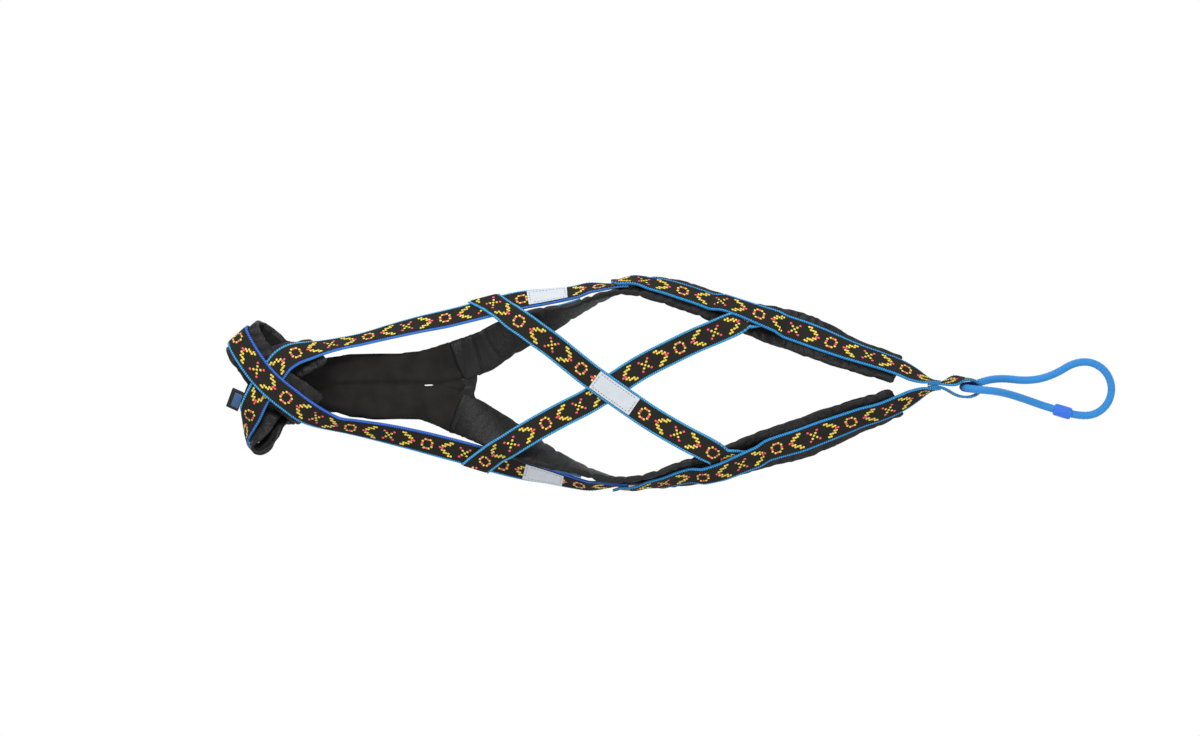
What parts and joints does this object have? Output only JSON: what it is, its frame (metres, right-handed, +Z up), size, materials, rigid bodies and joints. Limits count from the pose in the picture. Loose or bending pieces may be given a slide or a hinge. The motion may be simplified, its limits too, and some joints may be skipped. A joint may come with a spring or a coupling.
{
  "type": "sled dog pulling harness",
  "caption": "X-back pulling harness for a sled dog: padded collar, chest and side bands of webbing with a woven ribbon, crossed back straps and a braided rope loop at the tail.",
  "frame": {"origin": "middle of the harness's bounding box, on the ground it lies on; the tail rope isn't counted", "axes": "+X from the collar to the tail, +Y the dog's right, +Z up from the ground: the harness lies on its belly side"},
  "size_m": [0.8915, 0.2166, 0.0495],
  "materials": {
    "webbing_blue": "matte",
    "ribbon_patterned": "satin",
    "pad_nylon_black": "satin",
    "pad_foam": "matte",
    "fleece_black": "matte",
    "reflective_tape": "satin",
    "tab_black": "matte",
    "tab_blue": "matte",
    "rope_blue": "satin",
    "splice_blue": "satin"
  },
  "bodies": {
    "harness": {"back_over_ribbon": "ribbon_patterned", "back_over_webbing": "webbing_blue", "back_reflector": "reflective_tape", "back_under_ribbon": "ribbon_patterned", "back_under_webbing": "webbing_blue", "chest_gusset": "fleece_black", "chest_pad_foam": "pad_foam", "chest_pad_lining": "fleece_black", "chest_pad_shell": "pad_nylon_black", "left_leg_pad_foam": "pad_foam", "left_leg_pad_lining": "fleece_black", "left_leg_pad_shell": "pad_nylon_black", "left_leg_ribbon": "ribbon_patterned", "left_leg_webbing": "webbing_blue", "left_neck_pad_foam": "pad_foam", "left_neck_pad_lining": "fleece_black", "left_neck_pad_shell": "pad_nylon_black", "left_reflector": "reflective_tape", "left_shoulder_ribbon": "ribbon_patterned", "left_shoulder_webbing": "webbing_blue", "left_side_pad_foam": "pad_foam", "left_side_pad_lining": "fleece_black", "left_side_pad_shell": "pad_nylon_black", "left_side_ribbon": "ribbon_patterned", "left_side_webbing": "webbing_blue", "right_leg_pad_foam": "pad_foam", "right_leg_pad_lining": "fleece_black", "right_leg_pad_shell": "pad_nylon_black", "right_leg_ribbon": "ribbon_patterned", "right_leg_webbing": "webbing_blue", "right_neck_pad_foam": "pad_foam", "right_neck_pad_lining": "fleece_black", "right_neck_pad_shell": "pad_nylon_black", "right_reflector": "reflective_tape", "right_shoulder_ribbon": "ribbon_patterned", "right_shoulder_webbing": "webbing_blue", "right_side_pad_foam": "pad_foam", "right_side_pad_lining": "fleece_black", "right_side_pad_shell": "pad_nylon_black", "right_side_ribbon": "ribbon_patterned", "right_side_webbing": "webbing_blue", "tail_eye_ribbon": "ribbon_patterned", "tail_eye_webbing": "webbing_blue"},
    "tail_rope": {"tail_rope": "rope_blue", "tail_rope_splice": "splice_blue"},
    "label_tab": {"label_tab": "tab_black", "label_panel": "tab_blue"}
  },
  "joints": [
    {"name": "tail_loop_lift", "type": "hinge", "parent": "harness", "child": "tail_rope", "pos_m": [0.37705, -0.00484, 0.02217], "axis": [0, -1, 0], "range_deg": [0, 70]},
    {"name": "label_tab_fold", "type": "hinge", "parent": "harness", "child": "label_tab", "pos_m": [-0.35925, -0.01838, 0.03962], "axis": [-0.3429, -0.8718, -0.35], "range_deg": [-45, 70]}
  ]
}
